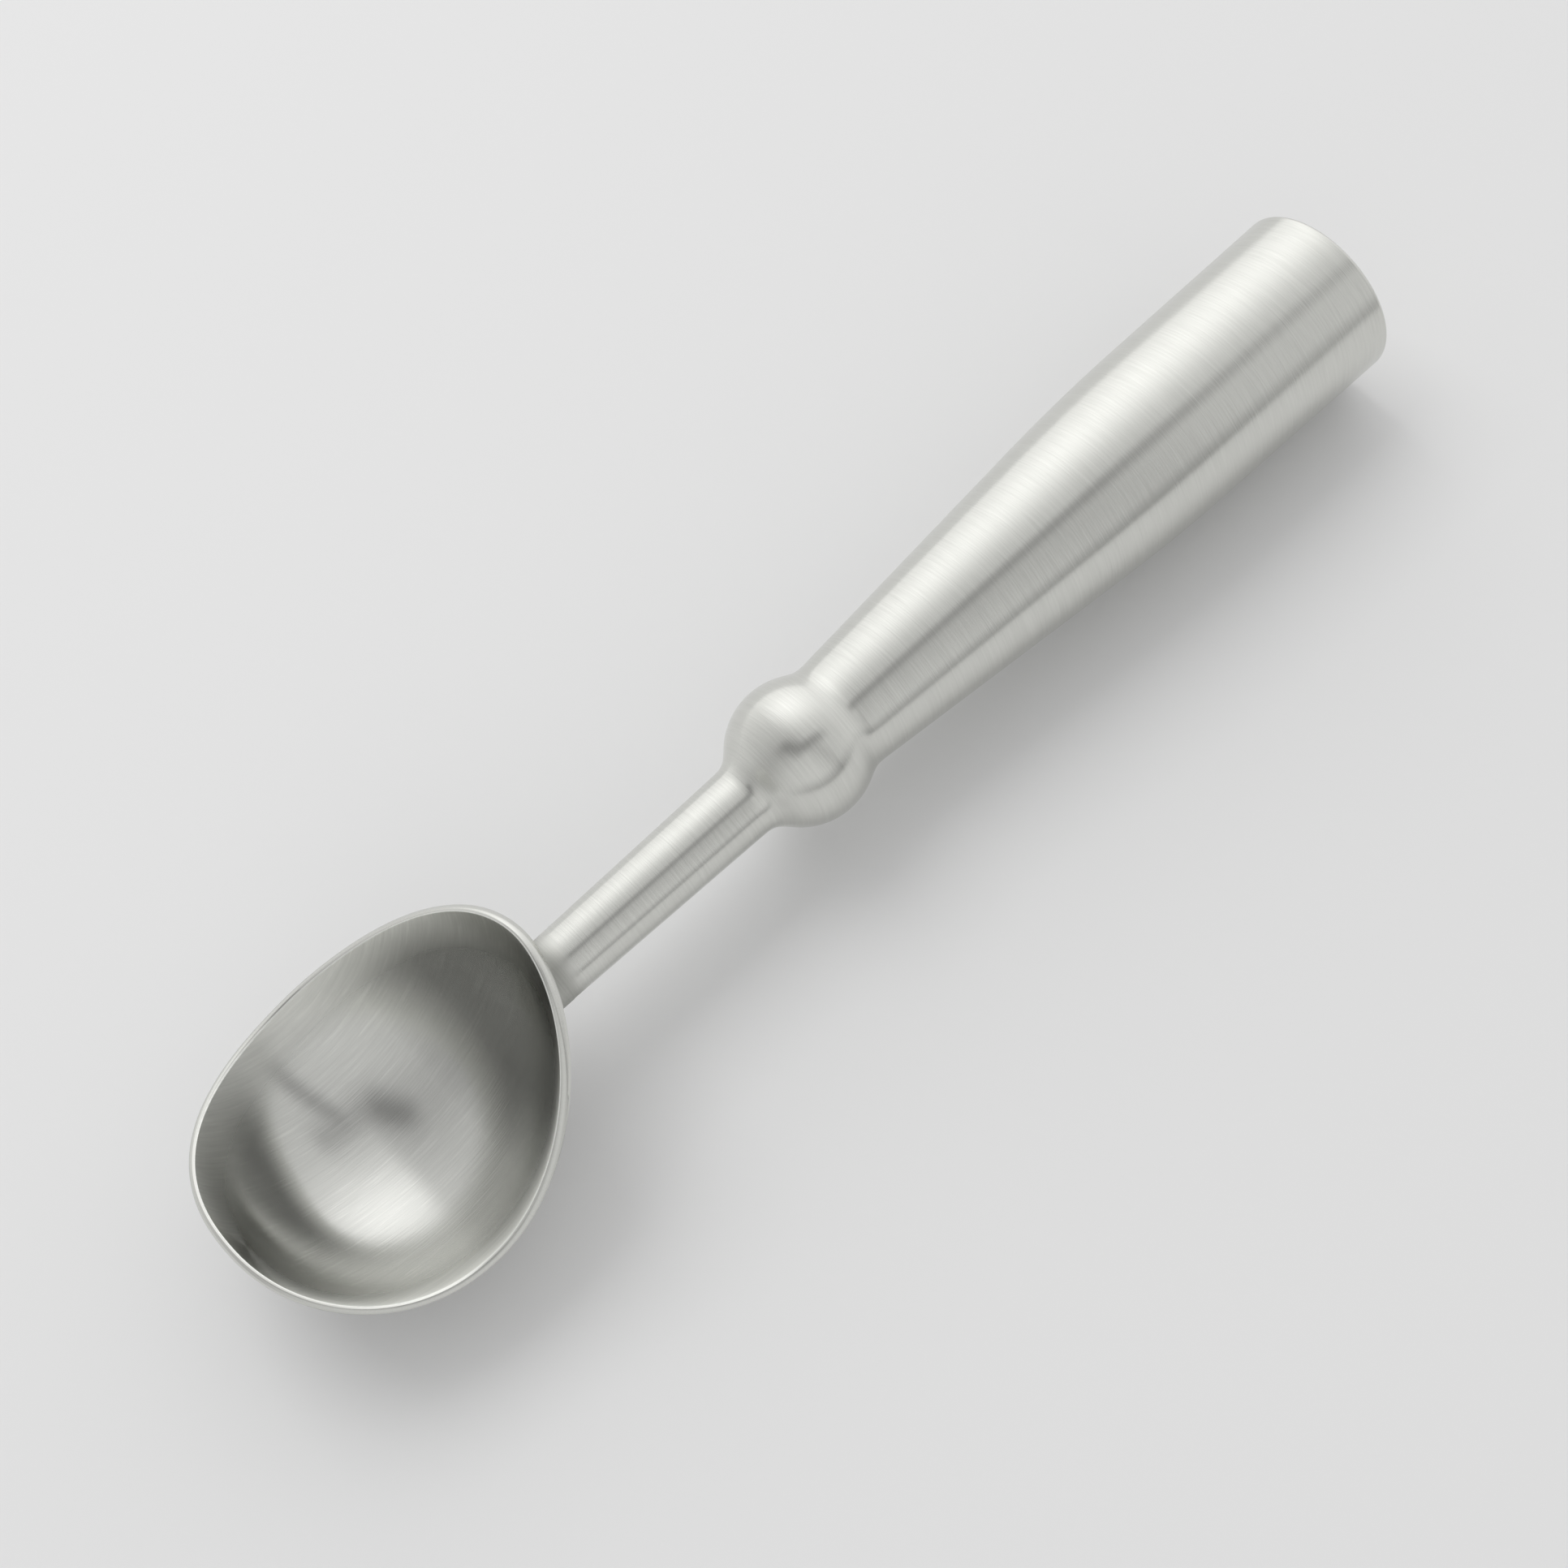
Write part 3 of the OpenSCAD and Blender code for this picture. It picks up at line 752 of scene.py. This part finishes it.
class SCOOP_OT_bowl(Operator):
    """Adds the pressed bowl with its ground lip"""

    bl_idname = "scoop.bowl"
    bl_label = "Bowl"

    def execute(self, context):
        scene = context.scene
        bowl = scene.scoop_bowl
        inner, outer = Skin(bowl, False), Skin(bowl, True)
        rings = [inner.ring(row / BOWL_ROWS) for row in range(1, BOWL_ROWS + 1)]
        lean = bowl.lip_lean * (bowl.lip_crown - bowl.lip_break)
        rings.append([self.lip_point(bowl, turn, bowl.lip_break, lean) for turn in turns(BOWL_PLACES)])
        for step in range(LIP_STEPS):
            rings.append([self.lip_curve(bowl, turn, step / LIP_STEPS) for turn in turns(BOWL_PLACES)])
        rings += [outer.ring(row / BOWL_ROWS) for row in range(BOWL_ROWS, 0, -1)]
        points = [point for ring in rings for point in ring]
        faces = ring_faces(len(rings), BOWL_PLACES)
        lip_faces = range(BOWL_ROWS * BOWL_PLACES, (BOWL_ROWS + LIP_STEPS + 1) * BOWL_PLACES)
        last = (len(rings) - 1) * BOWL_PLACES
        for skin, start in ((inner, 0), (outer, last)):
            bottom = len(points)
            points.append(Vector((-bowl.reach - bowl.bottom_ahead, 0, skin.low)))
            for i in range(BOWL_PLACES):
                a, b = start + i, start + (i + 1) % BOWL_PLACES
                faces.append((bottom, b, a) if start == 0 else (bottom, a, b))
        look = scene.scoop_steel
        shell = piece(
            "bowl_shell", points, faces, Turned(scene).matrix,
            [shared("pressed_steel", pressed_steel, look), shared("lip_steel", lip_steel, look)],
            ["bowl"],
            lambda index: 1 if index in lip_faces else 0,
        )
        rows = [row / BOWL_ROWS for row in range(1, BOWL_ROWS + 1)]
        nearness = [near for near in rows + [1] * (LIP_STEPS + 1) + rows[::-1] for _ in range(BOWL_PLACES)]
        attribute = shell.data.attributes.new("lip_nearness", "FLOAT", "POINT")
        attribute.data.foreach_set("value", nearness + [0, 0])
        return {"FINISHED"}

    def lip_point(self, bowl, turn, inset, fall):
        reach = lip_inside(bowl, turn) + inset
        height = lip_height(bowl, turn) - fall
        return Vector((reach * math.cos(turn) - bowl.reach, reach * math.sin(turn), height))

    def lip_curve(self, bowl, turn, part):
        """A point on the lip's rounded outside, a part of the way from the crown to the edge."""
        wall = lip_wall(bowl, turn)
        inset = bowl.lip_crown + (wall - bowl.lip_crown) * part
        return self.lip_point(bowl, turn, inset, bowl.lip_slope * wall * part * part)


class SCOOP_OT_weld(Operator):
    """Adds the ground weld between the bowl's back and the neck"""

    bl_idname = "scoop.weld"
    bl_label = "Weld"

    def execute(self, context):
        scene = context.scene
        bowl = scene.scoop_bowl
        form = Turned(scene)
        points = []
        foot = form.back + bowl.weld_run
        for step in range(BLEND_STEPS + 1):
            swing = math.pi / 2 * step / BLEND_STEPS
            rise = bowl.weld_edge + (bowl.weld_rise - bowl.weld_edge) * (1 - math.sin(swing))
            points += self.ring(form, foot, 1 - math.cos(swing), rise)
        points += self.ring(form, foot, 1, -bowl.weld_under)
        points += self.ring(form, foot, 0, -bowl.weld_under)
        faces = ring_faces(BLEND_STEPS + 3, TURNED_PLACES, closed=True)
        turned_piece("bowl_weld_ring", points, faces, form, "bowl_weld")
        return {"FINISHED"}

    def ring(self, form, foot, part, rise):
        """A ring at a part of the way from the bowl's back to the weld's foot."""
        points = []
        for turn in turns(TURNED_PLACES):
            start_radius = form.neck_radius(form.back) + rise
            start = form.start(start_radius * math.sin(turn), start_radius * math.cos(turn))
            along = start + (foot - start) * part
            radius = form.neck_radius(along) + rise
            points.append(Vector((along, radius * math.sin(turn), radius * math.cos(turn))))
        return points


class SCOOP_OT_neck(Operator):
    """Adds the turned neck and its tang"""

    bl_idname = "scoop.neck"
    bl_label = "Neck"

    def execute(self, context):
        scene = context.scene
        neck = scene.scoop_neck
        form = Turned(scene)
        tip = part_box("neck")[1][0]
        tang = neck.tang_diameter / 2
        face, along = end_face()
        tip = (tip - face.x) / along.x + scene.scoop_handle.reach - tang * abs(along.z)
        start_radius = form.neck_radius(form.back)
        points = []
        for k in range(1, NECK_END_RINGS + 1):
            radius = start_radius * k / NECK_END_RINGS
            for turn in turns(TURNED_PLACES):
                across, height = radius * math.sin(turn), radius * math.cos(turn)
                points.append(Vector((form.start(across, height), across, height)))
        straight_start = form.back + neck.bowl_diameter * NECK_OUTLINE_START
        straight_end = form.neck_end - scene.scoop_ball.easing
        straight = [(form.neck_radius(x), x) for x in (straight_start, straight_end)]
        outline = divided(straight, NECK_STEP)[:-1]
        outline += form.eased(straight_end, form.neck_end, HOLLOW_STEP)
        outline += [(tang, form.neck_end), (tang, tip - neck.tang_break), (tang - neck.tang_break, tip)]
        points += turned_points(outline)
        count = len(points) // TURNED_PLACES
        faces = ring_faces(count, TURNED_PLACES)
        for middle, start in (((form.start(0, 0), 0, 0), 0), ((tip, 0, 0), count - 1)):
            hub = len(points)
            points.append(Vector(middle))
            for i in range(TURNED_PLACES):
                a, b = start * TURNED_PLACES + i, start * TURNED_PLACES + (i + 1) % TURNED_PLACES
                faces.append((hub, b, a) if start == 0 else (hub, a, b))
        turned_piece("neck_rod", points, faces, form, "neck")
        return {"FINISHED"}


class SCOOP_OT_ball(Operator):
    """Adds the ball with its hollow curves to neck and handle"""

    bl_idname = "scoop.ball"
    bl_label = "Ball"

    def execute(self, context):
        scene = context.scene
        ball, neck = scene.scoop_ball, scene.scoop_neck
        form = Turned(scene)
        bore = neck.tang_diameter / 2 + ball.play
        spigot = ball.spigot_diameter / 2
        front = form.hollow_touch(form.neck_hollow, ball.neck_fillet) + ball.easing
        rear = form.hollow_touch(form.handle_hollow, ball.handle_fillet) - ball.easing
        outline = [(bore, form.neck_end)]
        outline += form.eased(form.neck_end, front, HOLLOW_STEP)[:-1]
        outline += form.eased(front, rear, BALL_STEP)[:-1]
        outline += form.eased(rear, form.joint, HOLLOW_STEP)
        outline += [
            (spigot, form.joint),
            (spigot, form.joint + ball.spigot_length),
            (bore, form.joint + ball.spigot_length),
        ]
        points = turned_points(outline)
        faces = ring_faces(len(outline), TURNED_PLACES, closed=True)
        turned_piece("ball_turning", points, faces, form, "ball_bolster")
        return {"FINISHED"}


class SCOOP_OT_handle(Operator):
    """Adds the hollow tapered handle"""

    bl_idname = "scoop.handle"
    bl_label = "Handle"

    def execute(self, context):
        scene = context.scene
        handle, ball, neck = scene.scoop_handle, scene.scoop_ball, scene.scoop_neck
        form = Turned(scene)
        bore = form.end_radius - handle.rear_wall
        seat = form.end_radius - handle.cap_rim + handle.play
        flange = handle.reach - handle.flange_thickness
        nose = form.joint + handle.nose
        tang_bore = neck.tang_diameter / 2 + handle.nose_play
        spigot_bore = ball.spigot_diameter / 2 + handle.nose_play
        spigot_end = form.joint + ball.spigot_length + handle.nose_play
        bore_start = (bore + handle.wall - form.taper_root) / form.taper_slope
        taper_end = handle.taper_reach - handle.taper_blend
        taper_start = form.joint + ball.easing
        outline = form.eased(form.joint, taper_start, HOLLOW_STEP)[:-1]
        taper = [(form.taper_radius(x), x) for x in (taper_start, taper_end)]
        outline += divided(taper, TAPER_STEP)[:-1]
        outline += [self.blend(handle, form, i / BLEND_STEPS) for i in range(BLEND_STEPS + 1)]
        edge = (form.end_radius - handle.end_round, handle.reach - handle.end_round)
        outline += arc(edge, handle.end_round, math.pi / 2, 0)
        outline += [
            (seat, handle.reach),
            (seat, flange),
            (bore, flange),
            (bore, bore_start),
            (form.taper_radius(nose) - handle.wall, nose),
            (tang_bore, nose),
            (tang_bore, spigot_end),
            (spigot_bore, spigot_end),
            (spigot_bore, form.joint),
        ]
        points = turned_points(outline)
        faces = ring_faces(len(outline), TURNED_PLACES, closed=True)
        turned_piece("handle_shell", points, faces, form, "handle")
        return {"FINISHED"}

    def blend(self, handle, form, part):
        """A point of the curve that blends the front taper into the rear one."""
        start = handle.taper_reach - handle.taper_blend
        end = handle.taper_reach + handle.taper_blend
        front = Vector((form.taper_radius(start), start))
        middle = Vector((form.shoulder, handle.taper_reach))
        rear = Vector((form.shoulder + form.rear_slope * handle.taper_blend, end))
        rest = 1 - part
        return tuple(rest * rest * front + 2 * part * rest * middle + part * part * rear)


class SCOOP_OT_end_cap(Operator):
    """Adds the cap pressed into the handle's rear bore"""

    bl_idname = "scoop.end_cap"
    bl_label = "End cap"

    def execute(self, context):
        scene = context.scene
        handle = scene.scoop_handle
        form = Turned(scene)
        plug = form.end_radius - handle.rear_wall - handle.play
        flange = form.end_radius - handle.cap_rim
        shoulder = handle.reach - handle.flange_thickness
        front = shoulder - handle.plug_length
        hollow = plug + handle.play - handle.plug_wall
        outline = [
            (handle.play, front + handle.plug_hollow),
            (hollow, front + handle.plug_hollow),
            (hollow, front),
            (plug, front),
            (plug, shoulder),
            (flange, shoulder),
            (flange, handle.reach - handle.cap_break),
            (flange - handle.cap_break, handle.reach),
            (handle.play, handle.reach),
        ]
        points = turned_points(outline)
        faces = ring_faces(len(outline), TURNED_PLACES)
        turned_piece("end_cap_turning", points, faces, form, "end_cap")
        return {"FINISHED"}


class SCOOP_OT_inner_pieces(Operator):
    """Gives the fastening and the seals inside the handle their finishes"""

    bl_idname = "scoop.inner_pieces"
    bl_label = "Inner pieces"

    def execute(self, context):
        look = context.scene.scoop_steel
        finishes = {
            "clamp_disc": inner_steel,
            "lock_washer": inner_steel,
            "tang_nut": inner_steel,
            "anti_turn_pin": inner_steel,
            "bolster_seal": seal_rubber,
            "end_cap_seal": seal_rubber,
        }
        for name, finish in finishes.items():
            node = frame["nodes"][name]
            node.data.materials.clear()
            node.data.materials.append(shared(finish.__name__, finish, look))
        return {"FINISHED"}


class SCOOP_OT_stage(Operator):
    """Adds the floor, the lamp, the room's light and the camera"""

    bl_idname = "scoop.stage"
    bl_label = "Stage"

    def execute(self, context):
        scene = context.scene
        look = scene.scoop_stage
        scene.view_settings.view_transform = "Standard"
        self.floor(scene, look)
        self.room(scene, look)
        self.window(scene, look)
        self.camera(scene, look)
        return {"FINISHED"}

    def floor(self, scene, look):
        material, tree = start_material("pale_floor")
        colour_value = (*look.floor, 1)
        shader = add_node(
            tree, "ShaderNodeBsdfPrincipled", Base_Color=colour_value, Roughness=FLOOR_BLUR
        )
        finish_material(tree, shader)
        half = look.floor_size / 2
        mesh = bpy.data.meshes.new("floor")
        corners = [(-half, -half, 0), (half, -half, 0), (half, half, 0), (-half, half, 0)]
        mesh.from_pydata(corners, [], [(0, 1, 2, 3)])
        mesh.materials.append(material)
        floor = bpy.data.objects.new("floor", mesh)
        scene.collection.objects.link(floor)

    def room(self, scene, look):
        """Pale walls with two soft glows, dark shapes overhead and a darker foot on the camera's side."""
        world = bpy.data.worlds.new("room")
        world.use_nodes = True
        tree = world.node_tree
        tree.nodes.clear()
        way = add_node(tree, "ShaderNodeTexCoord").outputs["Generated"]
        parts = add_node(tree, "ShaderNodeSeparateXYZ", Vector=way)
        key = self.glow(tree, way, look.key_from, look.key_tightness, look.key_level)
        start, full = look.key_edge - KEY_EDGE_SPREAD, look.key_edge + KEY_EDGE_SPREAD
        cut = ranged(tree, parts.outputs["X"], look.key_beyond, 1, start, full)
        fill = self.glow(tree, way, look.fill_from, look.fill_tightness, look.fill_level)
        tilted = vector_sums(tree, "DOT_PRODUCT", way, look.wall_tilt)
        walls = sums(tree, "ADD", sums(tree, "ADD", tilted, look.wall_level), fill)
        walls = sums(tree, "MULTIPLY_ADD", key, cut, walls)
        shaded = sums(tree, "MULTIPLY", walls, self.overhead(tree, way, look))
        shaded = sums(tree, "MULTIPLY", shaded, self.skirting(tree, parts, look))
        light = add_node(tree, "ShaderNodeBackground", Strength=shaded)
        light.inputs["Color"].default_value = (1, 1, 1, 1)
        add_node(tree, "ShaderNodeOutputWorld", Surface=light.outputs[0])
        scene.world = world

    def glow(self, tree, way, middle, tightness, level):
        """A round soft light that fades out evenly from its middle."""
        facing = vector_sums(tree, "DOT_PRODUCT", way, Vector(middle).normalized())
        fade = sums(tree, "MULTIPLY_ADD", facing, tightness, -tightness)
        return sums(tree, "MULTIPLY", sums(tree, "EXPONENT", fade), level)

    def overhead(self, tree, way, look):
        """Share of the light left by the dark shapes overhead, seen from above."""
        flat = vector_sums(tree, "MULTIPLY", way, (1, 1, 0))
        shapes = (
            (look.haze_start, look.patch_start, look.haze_width, look.haze_share),
            (look.patch_start, look.patch_end, look.patch_width, look.patch_share),
            (look.bar_start, look.bar_end, look.bar_width, look.bar_share),
            (look.pole_start, look.pole_end, look.pole_width, look.pole_share),
        )
        left = 1
        for shape in shapes:
            left = sums(tree, "MINIMUM", left, self.band(tree, flat, *shape))
        return left

    def band(self, tree, flat, start, end, width, left):
        """Share of the light left near the line between two places."""
        start, end = Vector(start), Vector(end)
        side = end - start
        step = side / side.length_squared
        part = sums(tree, "SUBTRACT", vector_sums(tree, "DOT_PRODUCT", flat, step), start.dot(step))
        held = ranged(tree, part, 0, 1, 0, 1)
        nearest = vector_sums(tree, "MULTIPLY_ADD", held, side, start)
        far = vector_sums(tree, "LENGTH", vector_sums(tree, "SUBTRACT", flat, nearest))
        return ranged(tree, far, left, 1, width * SHAPE_CORE, width * SHAPE_FADE)

    def skirting(self, tree, parts, look):
        """Share of the light left by the darker foot of the room on the camera's side."""
        low = ranged(tree, parts.outputs["Z"], look.skirting_share, 1, SKIRTING_LOW, SKIRTING_TOP)
        facing = ranged(tree, parts.outputs["Y"], 1, 0, SKIRTING_FULL, SKIRTING_NONE)
        return add_node(tree, "ShaderNodeMix", Factor=facing, A=1, B=low).outputs[0]

    def window(self, scene, look):
        """A lamp beside the scoop that lights the floor more on its own side."""
        light = bpy.data.lights.new("window", "AREA")
        light.size = look.window_size
        light.energy = look.window_power
        lamp = bpy.data.objects.new("window", light)
        lamp.location = look.window_at
        lamp.rotation_euler = (-lamp.location).to_track_quat("-Z", "Y").to_euler()
        lamp.visible_glossy = False
        scene.collection.objects.link(lamp)

    def camera(self, scene, look):
        lens = bpy.data.cameras.new("camera")
        lens.lens = look.lens
        lens.sensor_fit = "HORIZONTAL"
        lens.clip_start = CAMERA_CLIP_START
        camera = bpy.data.objects.new("camera", lens)
        camera.location = look.camera_at
        camera.rotation_euler = (look.camera_roll, look.camera_lean, look.camera_turn)
        scene.collection.objects.link(camera)
        scene.camera = camera


OPERATORS = (
    SCOOP_OT_bowl,
    SCOOP_OT_weld,
    SCOOP_OT_neck,
    SCOOP_OT_ball,
    SCOOP_OT_handle,
    SCOOP_OT_end_cap,
    SCOOP_OT_inner_pieces,
    SCOOP_OT_stage,
)


class SCOOP_PT_pieces(Panel):
    """Lists the scoop's pieces and their sizes"""

    bl_label = "Ice Cream Scoop"
    bl_idname = "SCOOP_PT_pieces"
    bl_space_type = "VIEW_3D"
    bl_region_type = "UI"
    bl_category = "Scoop"

    def draw(self, context):
        for operator in OPERATORS:
            self.layout.operator(operator.bl_idname)
        for group, kind in PIECE_SIZES.items():
            box = self.layout.box()
            for setting in kind.__annotations__:
                box.prop(getattr(context.scene, group), setting)


CLASSES = (*PIECE_SIZES.values(), *OPERATORS, SCOOP_PT_pieces)


def register():
    for cls in CLASSES:
        bpy.utils.register_class(cls)
    for group, kind in PIECE_SIZES.items():
        setattr(bpy.types.Scene, group, PointerProperty(type=kind))


def unregister():
    for group in PIECE_SIZES:
        delattr(bpy.types.Scene, group)
    for cls in reversed(CLASSES):
        bpy.utils.unregister_class(cls)


def main():
    register()
    for operator in OPERATORS:
        group, name = operator.bl_idname.split(".")
        getattr(getattr(bpy.ops, group), name)()


if __name__ == "__main__":
    main()
